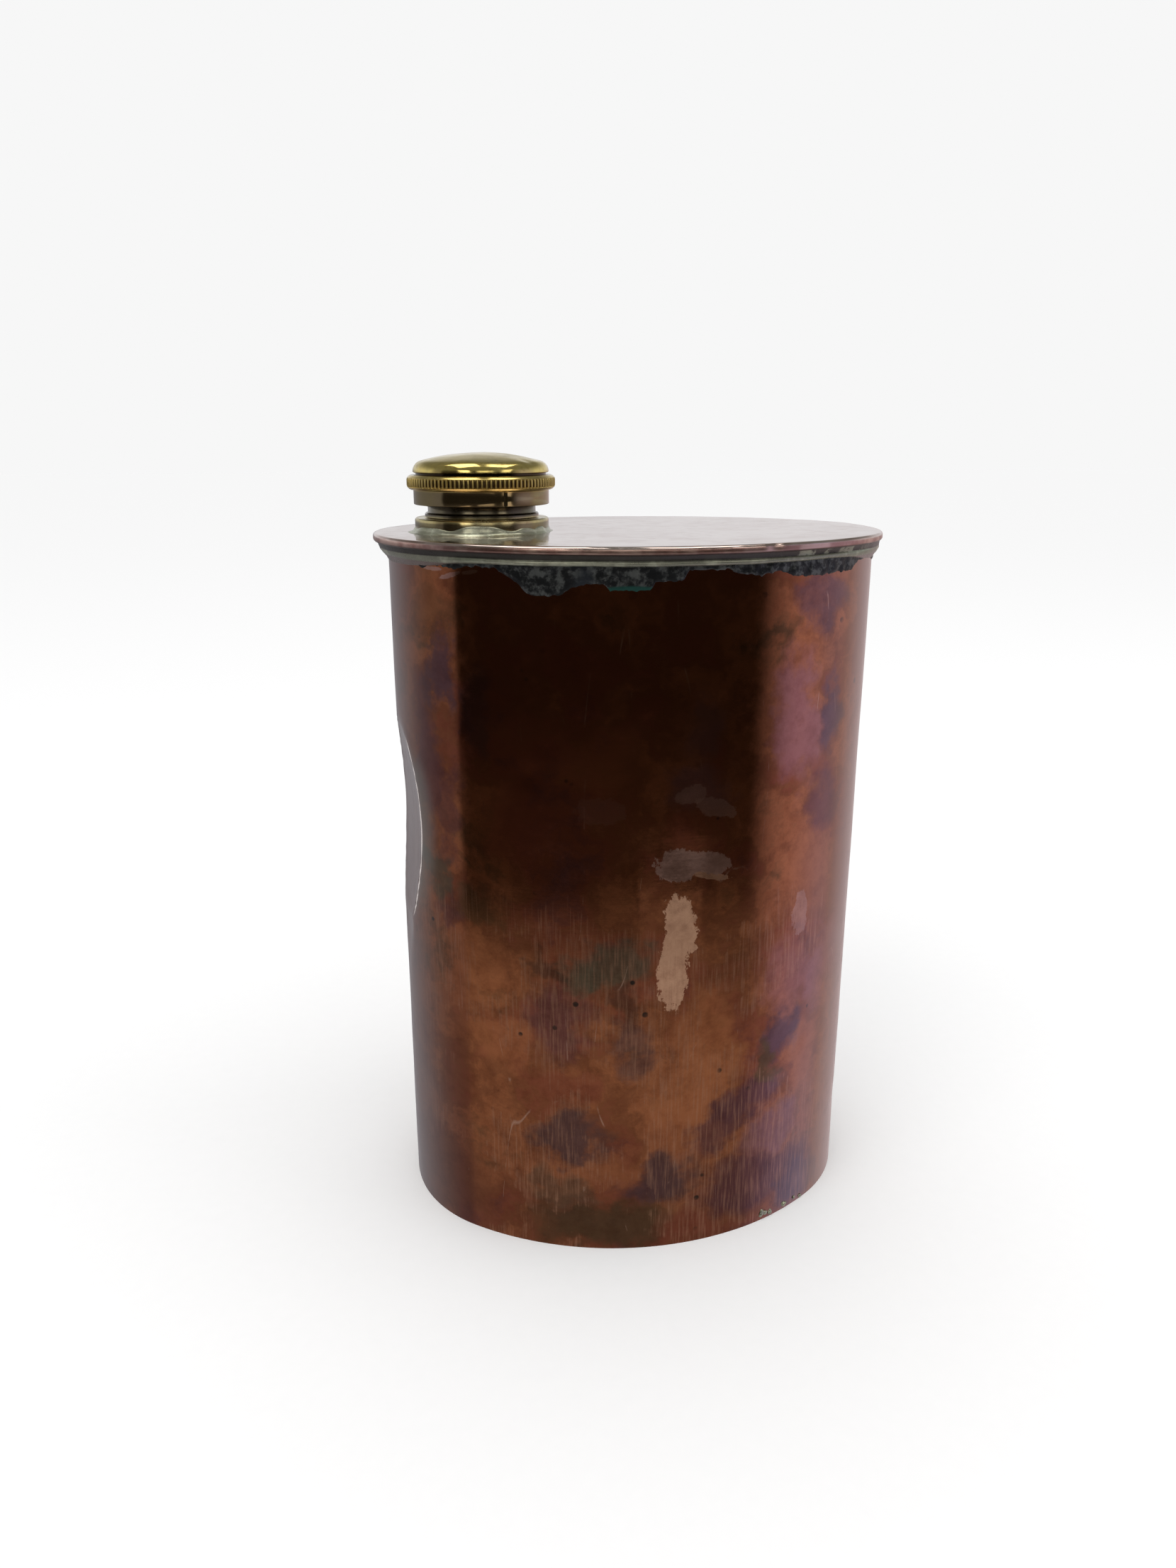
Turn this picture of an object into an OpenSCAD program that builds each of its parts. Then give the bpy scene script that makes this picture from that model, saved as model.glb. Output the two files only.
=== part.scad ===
// Oval copper oil can with a screwed brass cap.
//
// The can stands on its base edge. +Z is up, +X runs along the long axis of the
// oval, and the filler neck is at the -X end. The origin is the middle of the
// base, in the plane that the can stands on. Millimetres throughout.

/* [Body] */
// Width of the body along the oval's long axis
body_w = 110; // [106:1:130]
// Depth of the body along the oval's short axis
body_d = 82; // [76:1:90]
// Height from the base edge to the top of the top plate
body_h = 162; // [120:1:200]
// Thickness of the copper sheet
sheet = 0.6; // [0.5:0.05:0.8]
// How far the bottom plate is set up inside the body
base_recess = 3; // [3:0.5:6]

/* [Rim] */
// How far the folded edge of the top plate stands out from the body
rim_out = 2.5; // [2.3:0.1:3]
// Height of the solder fillet that runs round the body under the rim
fillet_h = 2.2; // [2:0.1:3]

/* [Seam] */
// Angle of the lap down the back, seen from the centre of the side curve
lap_angle = 6; // [4:0.5:9]

/* [Neck] */
// Distance of the neck from the middle of the can, along -X
neck_off = 34; // [28:1:34]
// Radius of the bore through the neck
neck_bore_r = 10.5; // [8:0.5:10.5]
// Radius over the crests of the neck's thread
thread_r = 12.6; // [12.6:0.1:12.8]
// Pitch of the thread
pitch = 1.6; // [1.4:0.1:1.8]
// Height of the neck above the top plate
neck_h = 11.6; // [11.2:0.1:11.6]
// Radius of the collar at the foot of the neck
foot_r = 14.8; // [14:0.1:16]
// Height of the collar at the foot of the neck
foot_h = 3.1; // [2.5:0.1:3.4]

/* [Cap] */
// Radius of the cap's plain skirt
skirt_r = 14.9; // [14.7:0.1:15]
// Height of the skirt's lower edge above the top plate
skirt_z = 5.9; // [5.6:0.1:6.2]
// Radius over the milled grip ring
grip_r = 16.3; // [16.3:0.1:17]
// Number of notches in the grip ring
grip_notches = 106; // [60:2:120]
// Height of the crown of the cap above the top plate
crown_z = 17.2; // [17:0.1:18.5]

/* [Hidden] */
$fn = 96;
eps = 0.01;
through = 1;

// The oval has four centres, laid out on a 3-4-5 triangle, so that the end
// curves and the side curves meet without a corner.
end_x = 3 * (body_w - body_d) / 4;
side_y = 4 * (body_w - body_d) / 4;
end_r = body_w / 2 - end_x;
side_r = body_d / 2 + side_y;
end_angle = atan2(4, 3);
past_axis = 5;

// Rim: the body's top edge is turned out, and the top plate is folded round it.
plate_z = body_h - sheet;
flange_z = plate_z - sheet;
fold_z = flange_z - sheet;
flange_out = rim_out - sheet;
fold_in = 0.9;
fillet_z = fold_z - fillet_h;
fillet_out = flange_out - 0.2;
fillet_waist = [0.75, 1.25];
roll_r = 0.5;

// Back seam
lap_low = 2;
lap_high = fillet_z - 1;
seam_leg = 0.9;
seam_solder_h = 0.8 * sheet;

// Base
bottom_flange = 2.2;
base_fillet = 0.7;

// Thread: the ridges on the neck and in the cap are the same trapezium.
thread_depth = 0.7;
thread_gap = 0.15;
ridge_root = 0.45;
ridge_crest = 0.18;
ridge_sink = 0.3;
turn_steps = 32;
taper_steps = 5;
thread_runout = 0.7;
thread_low = foot_h + thread_runout;
thread_high = neck_h - thread_runout;
neck_core_r = thread_r - thread_depth;
cap_bore_r = thread_r + thread_gap;
cap_crest_r = neck_core_r + thread_gap;
spigot_below = 2.4;
foot_bevel = 0.4;
neck_solder_leg = 1.1;
neck_solder_waist = 0.4 * neck_solder_leg;

// Cap, with heights above the top plate
grip_z = 9;
grip_top = 12.2;
grip_round = 1.2;
notch_h = 1.7;
notch_side = 0.5;
groove_r = 14.3;
dome_z = 12.6;
spigot_r = 13.6;
spigot_top = 13.8;
dome_floor = 14.1;
dome_r = 50.4;
dome_shoulder = 2.4;
relief_r = cap_bore_r + thread_gap;
relief_z = 11.2;
skirt_bevel = 0.2;
dome_bevel = 0.15;
shoulder_steps = 8;
crown_steps = 5;
washer_r = 12.4;
washer_hole_r = 8.5;
washer_gap = 0.02;

// Points on an arc, from angle a0 to angle a1, in steps equal parts.
function arc_points(cx, cz, r, a0, a1, steps = 6) =
    [for (i = [0 : steps]) let (a = a0 + (a1 - a0) * i / steps) [cx + r * cos(a), cz + r * sin(a)]];

// Draws its children in all four quarters of the oval.
module quarters() {
    for (mx = [0, 1], my = [0, 1])
        mirror([mx, 0, 0]) mirror([0, my, 0]) children();
}

// Carries a profile round the oval. Its x is the distance outside the body's outer face, its y is the height.
// In each quarter an end arc and a side arc start from the line through both of their centres, and run
// a little past the oval's axis, so that each laps its own mirror image.
module oval_sweep() {
    quarters() {
        translate([end_x, 0, 0]) rotate(end_angle)
            rotate_extrude(angle = -end_angle - past_axis) translate([end_r, 0]) children();
        translate([0, -side_y, 0]) rotate(end_angle)
            rotate_extrude(angle = 90 - end_angle + past_axis) translate([side_r, 0]) children();
    }
}

// A flat plate whose edge is at a distance outside the body's outer face.
module oval_plate(out, z, h) {
    quarters() {
        translate([end_x, 0, z]) rotate(end_angle)
            rotate_extrude(angle = -end_angle - past_axis) square([end_r + out, h]);
        translate([0, -side_y, z]) rotate(end_angle)
            rotate_extrude(angle = 90 - end_angle + past_axis) square([side_r + out, h]);
    }
}

// A helical ridge on a wall, out to its crest radius, which tapers back into the wall at both ends.
// The helix passes z0 at angle 0, and the ridge covers it from turn first to turn last.
module helical_ridge(wall_r, crest_r, z0, first, last) {
    side = crest_r > wall_r ? 1 : -1;
    root_r = wall_r - side * ridge_sink;
    hidden_r = wall_r - side * ridge_sink / 3;
    n = round((last - first) * turn_steps);
    points = [
        for (i = [0 : n])
            let (
                turn = first + i / turn_steps,
                grow = min(1, i / taper_steps, (n - i) / taper_steps),
                top_r = hidden_r + (crest_r - hidden_r) * grow
            )
            for (p = [[root_r, -ridge_root], [top_r, -ridge_crest],
                      [top_r, ridge_crest], [root_r, ridge_root]])
                [p[0] * cos(360 * turn), p[0] * sin(360 * turn), z0 + pitch * turn + side * p[1]]
    ];
    sides = [
        for (i = [0 : n - 1], j = [0 : 3])
            let (k = (j + 1) % 4, a = 4 * i + j, b = 4 * i + k, c = 4 * i + 4 + k, d = 4 * i + 4 + j)
            for (tri = [[a, b, c], [a, c, d]]) tri
    ];
    ends = [[3, 2, 1], [3, 1, 0], [4 * n, 4 * n + 1, 4 * n + 2], [4 * n, 4 * n + 2, 4 * n + 3]];
    polyhedron(points = points, faces = concat(sides, ends), convexity = 10);
}

// Puts its children on the neck's axis, with the top plate at height 0.
module at_neck() {
    translate([-neck_off, 0, body_h]) children();
}

// The copper wrapper: one sheet bent to the oval, lapped at the back and turned out at the top.
module body_wall() {
    color([0.50, 0.24, 0.15]) {
        oval_sweep() union() {
            translate([-sheet, 0]) square([sheet, plate_z]);
            translate([-sheet, flange_z]) square([sheet + flange_out, sheet]);
        }
        translate([0, -side_y, lap_low]) rotate(90 - lap_angle / 2)
            rotate_extrude(angle = lap_angle)
                translate([side_r - eps, 0]) square([sheet + eps, lap_high - lap_low]);
    }
}

// The line of solder along the outer edge of the lap.
module seam_solder() {
    low = 90 + lap_angle / 2;
    high = low + seam_leg * 180 / (PI * side_r);
    color([0.62, 0.60, 0.56])
        translate([0, -side_y, lap_low]) linear_extrude(lap_high - lap_low) polygon([
            (side_r + eps) * [cos(low), sin(low)],
            (side_r + seam_solder_h) * [cos(low), sin(low)],
            (side_r + eps) * [cos(high), sin(high)]
        ]);
}

// The oval top, folded down and under the body's turned-out edge, with a hole for the neck.
module top_plate() {
    color([0.58, 0.34, 0.27]) difference() {
        union() {
            oval_plate(flange_out, plate_z, sheet);
            oval_sweep() polygon(concat(
                [[fold_in, fold_z], [flange_out, fold_z]],
                arc_points(flange_out, flange_z, sheet, -90, 0),
                arc_points(flange_out, plate_z, sheet, 0, 90),
                [[fold_in, body_h], [fold_in, plate_z], [flange_out, plate_z]],
                [[flange_out, flange_z], [fold_in, flange_z]]
            ));
        }
        translate([-neck_off, 0, plate_z - through]) cylinder(r = neck_core_r, h = sheet + 2 * through);
    }
}

// The solder in the corner under the rim: a hollow fillet with a small round roll along its foot.
module rim_solder() {
    color([0.42, 0.43, 0.38]) oval_sweep() translate([0, fillet_z]) polygon(concat(
        [[0, 0], [roll_r / 2, 0]],
        arc_points(roll_r, roll_r, roll_r, -60, 60, 5),
        [fillet_waist, [fillet_out, fillet_h], [0, fillet_h]]
    ));
}

// The oval bottom, a shallow tray with its edge turned down inside the body.
module bottom_plate() {
    color([0.46, 0.24, 0.16]) {
        oval_plate(-sheet, base_recess, sheet);
        oval_sweep() translate([-2 * sheet, base_recess - bottom_flange])
            square([sheet, bottom_flange + sheet]);
    }
}

// The solder that seals the bottom's turned edge to the body.
module base_solder() {
    edge = base_recess - bottom_flange;
    color([0.62, 0.60, 0.56]) oval_sweep() polygon([
        [-sheet, edge - base_fillet],
        [-sheet, edge],
        [-sheet - base_fillet, edge]
    ]);
}

// The turned brass neck: a spigot through the top plate, a collar that sits on it, and the cap's thread.
module filler_neck() {
    color([0.66, 0.55, 0.27]) at_neck() difference() {
        union() {
            translate([0, 0, -sheet - spigot_below])
                cylinder(r = neck_core_r, h = neck_h + sheet + spigot_below);
            rotate_extrude() polygon([
                [0, 0], [foot_r, 0], [foot_r, foot_h - foot_bevel], [foot_r - foot_bevel, foot_h], [0, foot_h]
            ]);
            helical_ridge(neck_core_r, thread_r, thread_low, 0, (thread_high - thread_low) / pitch);
        }
        translate([0, 0, -sheet - spigot_below - through])
            cylinder(r = neck_bore_r, h = neck_h + sheet + spigot_below + 2 * through);
    }
}

// The fillet of solder round the foot of the neck.
module neck_solder() {
    color([0.55, 0.55, 0.47]) at_neck() rotate_extrude() polygon([
        [foot_r, 0],
        [foot_r + neck_solder_leg, 0],
        [foot_r + neck_solder_waist, neck_solder_waist],
        [foot_r, neck_solder_leg]
    ]);
}

// The notches round the middle of the grip ring.
module milled_notches() {
    for (i = [0 : grip_notches - 1])
        rotate(360 * i / grip_notches) translate([grip_r, 0, (grip_z + grip_top) / 2])
            rotate(45) cube([notch_side, notch_side, notch_h], center = true);
}

// The threaded collar of the cap: a plain skirt, the milled grip ring, and a spigot that carries the dome.
module cap_collar() {
    groove_z = thread_low + pitch / 2;
    first = (skirt_z + thread_runout - groove_z) / pitch;
    last = (relief_z - ridge_root - groove_z) / pitch;
    color([0.72, 0.60, 0.28]) at_neck() difference() {
        union() {
            difference() {
                rotate_extrude() polygon(concat(
                    [[0, skirt_z], [skirt_r - skirt_bevel, skirt_z]],
                    [[skirt_r, skirt_z + skirt_bevel], [skirt_r, grip_z]],
                    arc_points(grip_r - grip_round, grip_z + grip_round, grip_round, -90, 0),
                    arc_points(grip_r - grip_round, grip_top - grip_round, grip_round, 0, 90),
                    [[groove_r, grip_top], [groove_r, dome_z], [spigot_r, dome_z],
                     [spigot_r, spigot_top], [0, spigot_top]]
                ));
                translate([0, 0, skirt_z - through])
                    cylinder(r = cap_bore_r, h = spigot_top - skirt_z + 2 * through);
            }
            helical_ridge(cap_bore_r, cap_crest_r, groove_z, first, last);
        }
        translate([0, 0, relief_z]) cylinder(r = relief_r, h = spigot_top - relief_z + through);
        milled_notches();
    }
}

// The turned crown of the cap, which sits on the collar's spigot and backs the washer.
module cap_dome() {
    centre_z = crown_z - dome_r;
    shoulder_x = skirt_r - dome_shoulder;
    shoulder_z = centre_z + sqrt(pow(dome_r - dome_shoulder, 2) - pow(shoulder_x, 2));
    blend = atan2(shoulder_z - centre_z, shoulder_x);
    color([0.72, 0.62, 0.32]) at_neck() rotate_extrude() polygon(concat(
        [[0, dome_floor], [spigot_r, dome_floor], [spigot_r, dome_z], [skirt_r - dome_bevel, dome_z]],
        [[skirt_r, dome_z + dome_bevel]],
        arc_points(shoulder_x, shoulder_z, dome_shoulder, 0, blend, shoulder_steps),
        [for (i = [1 : crown_steps]) let (a = blend + (90 - blend) * i / crown_steps)
            [i == crown_steps ? 0 : dome_r * cos(a), centre_z + dome_r * sin(a)]]
    ));
}

// The leather ring that seals the cap on the lip of the neck.
module cap_washer() {
    color([0.33, 0.22, 0.14]) at_neck() translate([0, 0, neck_h + washer_gap]) difference() {
        cylinder(r = washer_r, h = dome_floor - neck_h - 2 * washer_gap);
        translate([0, 0, -through]) cylinder(r = washer_hole_r, h = dome_floor - neck_h + 2 * through);
    }
}

body_wall();
seam_solder();
top_plate();
rim_solder();
bottom_plate();
base_solder();
filler_neck();
neck_solder();
cap_collar();
cap_dome();
cap_washer();
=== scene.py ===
# %% [markdown]
# # An oval copper oil can
#
# The can is a tinsmith's job: a copper sheet bent to an oval and lapped down the back, a top folded over
# its edge, soft solder in every joint, and a turned brass neck with a milled screw cap. The CAD model
# fixes every size and every joint of it. This lesson builds the same pieces again with the dents, the
# ragged solder and the heat colours that an old can has.

import math
import random

import bpy
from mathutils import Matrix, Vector, noise


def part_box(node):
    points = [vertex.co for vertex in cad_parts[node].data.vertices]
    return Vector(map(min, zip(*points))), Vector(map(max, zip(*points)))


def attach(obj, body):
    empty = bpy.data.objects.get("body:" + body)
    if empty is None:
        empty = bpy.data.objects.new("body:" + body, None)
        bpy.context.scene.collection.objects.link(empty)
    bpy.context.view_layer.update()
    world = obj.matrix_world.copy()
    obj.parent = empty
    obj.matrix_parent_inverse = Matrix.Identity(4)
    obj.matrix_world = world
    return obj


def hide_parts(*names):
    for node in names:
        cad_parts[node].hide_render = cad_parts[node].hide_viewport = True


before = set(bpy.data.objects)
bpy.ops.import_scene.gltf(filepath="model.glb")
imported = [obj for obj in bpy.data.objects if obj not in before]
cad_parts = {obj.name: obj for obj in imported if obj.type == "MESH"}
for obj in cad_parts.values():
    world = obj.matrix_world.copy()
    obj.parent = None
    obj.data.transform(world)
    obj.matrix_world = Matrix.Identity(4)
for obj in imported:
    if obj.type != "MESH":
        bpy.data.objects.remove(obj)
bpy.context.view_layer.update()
mm = 0.001

# %% [markdown]
# All places come from the CAD model's own boxes. The oval has four centres: two for the ends, on the long
# axis, and two for the sides, on the short one. They lie on a triangle of 3, 4 and 5, so the curves
# meet smoothly.

# %% Measure the frame
sheet = 0.6 * mm
tray_low, tray_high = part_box("bottom_plate")
neck_low, neck_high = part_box("filler_neck")
half_w = tray_high.x + sheet
half_d = tray_high.y + sheet
top_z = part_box("top_plate")[1].z
neck_x = (neck_low.x + neck_high.x) / 2
end_x = 1.5 * (half_w - half_d)
side_y = 2 * (half_w - half_d)
end_r = half_w - end_x
side_r = half_d + side_y
end_angle = math.atan2(4, 3)
side_length = side_r * (math.pi / 2 - end_angle)
half_round = 2 * side_length + 2 * end_r * end_angle
print(f"oval {2000 * half_w:.1f} x {2000 * half_d:.1f} mm, top at {1000 * top_z:.1f} mm, "
      f"half way round {1000 * half_round:.1f} mm")

# %% [markdown]
# Operators act on whatever is selected, and the CAD nodes come in selected. So each piece is picked up on
# its own before it is worked. A piece starts as a line: a small plane is merged to one point, and
# the point is extruded from corner to corner, as with a pencil.

# %% Pick up a piece, and draw a line
def take(piece):
    """Selects this piece and nothing else."""
    bpy.ops.object.select_all(action="DESELECT")
    piece.select_set(True)
    bpy.context.view_layer.objects.active = piece


def draw_line(name, points):
    """A new piece that is a line from point to point, left in edit mode with its last point selected."""
    bpy.ops.object.select_all(action="DESELECT")
    bpy.ops.mesh.primitive_plane_add(size=mm, location=points[0])
    piece = bpy.context.object
    piece.name = piece.data.name = name
    bpy.ops.object.transform_apply(location=True, rotation=True, scale=True)
    bpy.ops.object.mode_set(mode="EDIT")
    bpy.ops.mesh.select_all(action="SELECT")
    bpy.ops.mesh.merge(type="CENTER")
    for here, there in zip(points, points[1:]):
        bpy.ops.mesh.extrude_region_move(TRANSFORM_OT_translate={"value": Vector(there) - Vector(here)})
    return piece


def select_points(piece, wanted):
    """In edit mode, selects the points whose place is wanted, and the edges and faces between them."""
    bpy.ops.mesh.select_mode(type="VERT")
    bpy.ops.mesh.select_all(action="DESELECT")
    bpy.ops.object.mode_set(mode="OBJECT")
    for point in piece.data.vertices:
        point.select = wanted(point.co)
    bpy.ops.object.mode_set(mode="EDIT")
    bpy.ops.mesh.select_mode(type="VERT")


def close_up(piece):
    """Joins the points that meet, turns the faces outwards, and goes back to object mode."""
    bpy.ops.mesh.select_all(action="SELECT")
    bpy.ops.mesh.remove_doubles(threshold=0.001 * mm)
    bpy.ops.mesh.normals_make_consistent(inside=False)
    bpy.ops.object.mode_set(mode="OBJECT")
    print(f"{piece.name}: {len(piece.data.vertices)} points, {len(piece.data.polygons)} faces")


def triangles(piece):
    """How many triangles a piece has."""
    return sum(len(face.vertices) - 2 for face in piece.data.polygons)


# %% [markdown]
# The wall, the rim and the solder under it all run round the same oval. A line that stands at the +X end
# is spun about the four centres in turn. The turned brass pieces are spun once, full circle, about
# the neck's axis, as on a lathe.

# %% Sweep round the oval, and turn on the lathe
def sweep_round(piece, end_steps, side_steps):
    """Spins the whole line round the oval's four curves."""
    end_turn, side_turn = 2 * end_angle, math.pi - 2 * end_angle
    bpy.ops.mesh.select_all(action="SELECT")
    for centre, turn, steps in (
        ((end_x, 0, 0), end_turn / 2, end_steps // 2),
        ((0, -side_y, 0), side_turn, side_steps),
        ((-end_x, 0, 0), end_turn, end_steps),
        ((0, side_y, 0), side_turn, side_steps),
        ((end_x, 0, 0), end_turn / 2, end_steps // 2),
    ):
        bpy.ops.mesh.spin(steps=steps, angle=-turn, center=centre, axis=(0, 0, 1))
    close_up(piece)


def from_neck(point):
    """The flat way from the neck's axis to a point, and the height above the top plate in millimetres."""
    return Vector((point.x - neck_x, point.y, 0)), (point.z - top_z) / mm


def turned(name, profile, steps):
    """A piece turned from a closed profile of radius and height above the top plate, in millimetres."""
    piece = draw_line(name, [(neck_x + r * mm, 0, top_z + z * mm) for r, z in profile + profile[:1]])
    bpy.ops.mesh.select_all(action="SELECT")
    bpy.ops.mesh.spin(steps=steps, angle=-2 * math.pi, center=(neck_x, 0, 0), axis=(0, 0, 1))
    close_up(piece)
    return piece


def arc(cx, cz, r, a0, a1, steps):
    """Points on an arc, from angle a0 to angle a1 in degrees."""
    angles = [math.radians(a0 + (a1 - a0) * i / steps) for i in range(steps + 1)]
    return [(cx + r * math.cos(a), cz + r * math.sin(a)) for a in angles]


# %% [markdown]
# Dents, waves and ragged edges are too loose for an operator, so they are pushed in point by point. Each
# needs to know where on the wall a point is: how far along the oval from the middle of the front, and
# which way is out.

# %% Places on the wall
def place_round(point):
    """Millimetres along the oval from the middle of the front, positive towards +X, and the way out."""
    x, y = abs(point.x), abs(point.y)
    angle = math.atan2(y, x - end_x)
    if x > end_x and angle < end_angle:
        out = Vector((math.cos(angle), math.sin(angle), 0))
        along = side_length + end_r * (end_angle - angle)
    else:
        angle = math.atan2(x, y + side_y)
        out = Vector((math.sin(angle), math.cos(angle), 0))
        along = side_r * angle
    if point.y > 0:
        along = half_round - along
    out.x, out.y = math.copysign(out.x, point.x), math.copysign(out.y, point.y)
    return math.copysign(along, point.x) / mm, out


def on_wall(along, height):
    """The point on the wall at a distance round from the middle of the front, both in millimetres."""
    s = abs(along) * mm
    back = s > half_round / 2
    s = half_round - s if back else s
    if s < side_length:
        x, y = side_r * math.sin(s / side_r), side_r * math.cos(s / side_r) - side_y
    else:
        angle = end_angle - (s - side_length) / end_r
        x, y = end_x + end_r * math.cos(angle), end_r * math.sin(angle)
    return Vector((math.copysign(x, along), y if back else -y, height * mm))


def reach_of(point):
    """How far a point stands outside the wall's true face, in millimetres."""
    along, out = place_round(point)
    return (point - on_wall(along, point.z / mm)).dot(out) / mm


def push(piece, shift):
    """Moves every point of a piece by what shift gives for its place."""
    for point in piece.data.vertices:
        point.co += shift(point.co)
    piece.data.update()


def soft_step(value, low, high):
    """0 below low, 1 above high, and a smooth rise between them."""
    t = max(0.0, min(1.0, (value - low) / (high - low)))
    return t * t * (3 - 2 * t)


def thicken(piece, thickness, outward):
    """Gives a thin shell its thickness on the inner side, once its faces point the way that outward gives."""
    take(piece)
    if sum(face.area * face.normal.dot(outward(face.center)) for face in piece.data.polygons) < 0:
        bpy.ops.object.mode_set(mode="EDIT")
        bpy.ops.mesh.select_all(action="SELECT")
        bpy.ops.mesh.flip_normals()
        bpy.ops.object.mode_set(mode="OBJECT")
    wall = piece.modifiers.new("thickness", "SOLIDIFY")
    wall.thickness, wall.offset = thickness, -1
    bpy.ops.object.modifier_apply(modifier=wall.name)


def smooth(piece, angle=35):
    """Smooth shading, with an edge kept wherever the faces turn by more than the angle."""
    take(piece)
    bpy.ops.object.shade_smooth_by_angle(angle=math.radians(angle))


middle = on_wall(0, 50)
print("the middle of the front is at", [round(v / mm, 1) for v in middle])

# %% [markdown]
# **The wrapper.** On the real can it is one sheet of copper, rolled to the oval, lapped at the back and
# turned out at the top. It could be a scaled cylinder, but that gives an ellipse. A standing line,
# divided finely and swept round the four centres, gives the true oval and an even grid that takes dents well.

# %% Roll the wrapper
foot_z, straight_top = 0, 160.3 * mm
wall_steps, solder_steps = (54, 76), (90, 126)
wrapper = draw_line("copper_wrapper", [
    (half_w + 1.85 * mm, 0, 160.85 * mm), (half_w + 0.5 * mm, 0, 160.75 * mm),
    (half_w, 0, straight_top), (half_w, 0, foot_z),
])
select_points(wrapper, lambda p: p.z < straight_top + 0.01 * mm)
bpy.ops.mesh.subdivide(number_cuts=127)
sweep_round(wrapper, *wall_steps)

# %% [markdown]
# The left end has one real dent: something flat has pressed the curve in, which leaves a flat with a crease
# down its front edge. A flat cut through a round end is a straight line in plan, so the dent
# is the smaller of the round radius and the distance to that line, with the depth fading up and down.

# %% Press in the dent
dent_way = math.radians(187.5)
dent_z, dent_half, dent_deep = 98, 23.5, 2.6
tail_z, tail_half, tail_deep = 73, 8, 0.6


def dent_depth(z):
    """Depth of the flat at a height, in millimetres."""
    main = dent_deep * (1 - ((z - dent_z) / dent_half) ** 2)
    tail = tail_deep * math.exp(-(((z - tail_z) / tail_half) ** 2))
    return max(0, main) + tail


def dent(point):
    """How far in the dent presses the wall at a point, in millimetres, with its raised crease."""
    z = point.z / mm
    if point.x > -end_x or not 50 < z < 128:
        return 0
    turn = abs((math.atan2(point.y, point.x + end_x) - dent_way + math.pi) % (2 * math.pi) - math.pi)
    depth = dent_depth(z)
    radius = end_r / mm
    gap = radius - (radius - depth) / max(0.3, math.cos(turn))
    crease = math.acos(max(-1, min(1, (radius - depth) / radius)))
    ridge = 0.16 * min(1, depth / 1.2) * math.exp(-(((turn - crease) * radius / 1.3) ** 2))
    softened = 0.5 * (gap + math.sqrt(gap * gap + 0.006))
    return (softened if depth > 0.01 else 0) - ridge


print("deepest", round(max(dent_depth(z) for z in range(60, 130)), 2), "mm")

# %% [markdown]
# Hand-rolled sheet is never quite true. Slow waves of a tenth of a millimetre bend the reflections, and
# a few small knocks catch the light. At the back the outer layer of the lap stands proud by one
# thickness: the sheet rises to it gently on one side and ends in a sharp edge on the other.

# %% Wave the sheet, knock it about, and step it at the lap
knocks = [(70, 107, 5, 0.35), (37, 46, 2.4, 0.14), (31, 36, 2.6, 0.18), (-29, 115, 2.2, 0.12),
          (5, 96, 7, 0.10), (0, 60, 8, 0.06), (-90, 60, 6, 0.30), (110, 40, 7, 0.30), (130, 120, 6, 0.25),
          (-120, 100, 8, 0.3), (14, 150, 3, 0.05), (60, 18, 5, 0.2), (-62, 30, 6, 0.12)]
knock_places = [(on_wall(s, z), size * mm, depth) for s, z, size, depth in knocks]
lap_half = 3.6 * mm


def wrapper_shift(point):
    """The whole of what age and handwork do to the wrapper at a point."""
    along, out = place_round(point)
    calm = 1 - soft_step(point.z / mm, 152, 158)
    wave = 0.16 * noise.noise(point / (34 * mm)) + 0.035 * noise.noise(point / (9 * mm))
    press = wave * (0.25 + 0.75 * calm) - dent(point)
    for centre, size, depth in knock_places:
        gap = (point - centre).length / size
        if gap < 3:
            press -= depth * math.exp(-gap * gap)
    step = Vector((0, 0, 0))
    if point.y > 0 and 2 * mm < point.z < 156.5 * mm:
        press += 0.6 * (1 - soft_step(point.x / mm, 3.6, 11)) * (point.x > -lap_half)
        if abs(point.x + lap_half) < 1.2 * mm:
            step.x = -lap_half - point.x + 0.04 * mm * (1 if point.x > -lap_half else -1)
    return out * press * mm + step


push(wrapper, wrapper_shift)
thicken(wrapper, sheet, lambda p: place_round(p)[1])
smooth(wrapper, 50)
print("wrapper triangles:", triangles(wrapper))

# %% [markdown]
# **The top.** The real one is an oval of copper, folded down over the wrapper's turned edge and squeezed
# flat under it. The fold's outline is swept round, and the flat is grown inwards from it by extruding
# the inner edge and scaling it, ring by ring. The top sits a little to the left, so that the fold stands out
# further there than at the right, and it is hand-beaten, so the flat isn't quite level.

# %% Fold the top over the edge
def grow_inwards(piece, edge_reach, rings, z):
    """Fills a swept outline: its inner edge is extruded and scaled inwards ring by ring, to one point."""
    take(piece)
    bpy.ops.object.mode_set(mode="EDIT")
    select_points(piece, lambda p: reach_of(p) < edge_reach)
    for ring in range(rings):
        size = (rings - ring - 0.5) / (rings - ring + 0.5)
        bpy.ops.mesh.extrude_region_move()
        bpy.ops.transform.resize(value=(size, size, 1), center_override=(0, 0, z))
    bpy.ops.mesh.merge(type="CENTER")
    close_up(piece)


fold = [(0.9, 160.2), (1.9, 160.2)] + arc(1.9, 160.85, 0.65, -70, 0, 4)
fold += arc(1.85, 161.3, 0.7, 10, 90, 5) + [(1.2, 162), (0.3, 162), (-0.8, 162)]
lid = draw_line("folded_top", [(half_w + out * mm, 0, z * mm) for out, z in fold])
sweep_round(lid, *wall_steps)
grow_inwards(lid, -0.7, 26, top_z)

# %% Beat the top by hand, and cut the hole for the neck
lid_shift_x = -0.5


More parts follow.
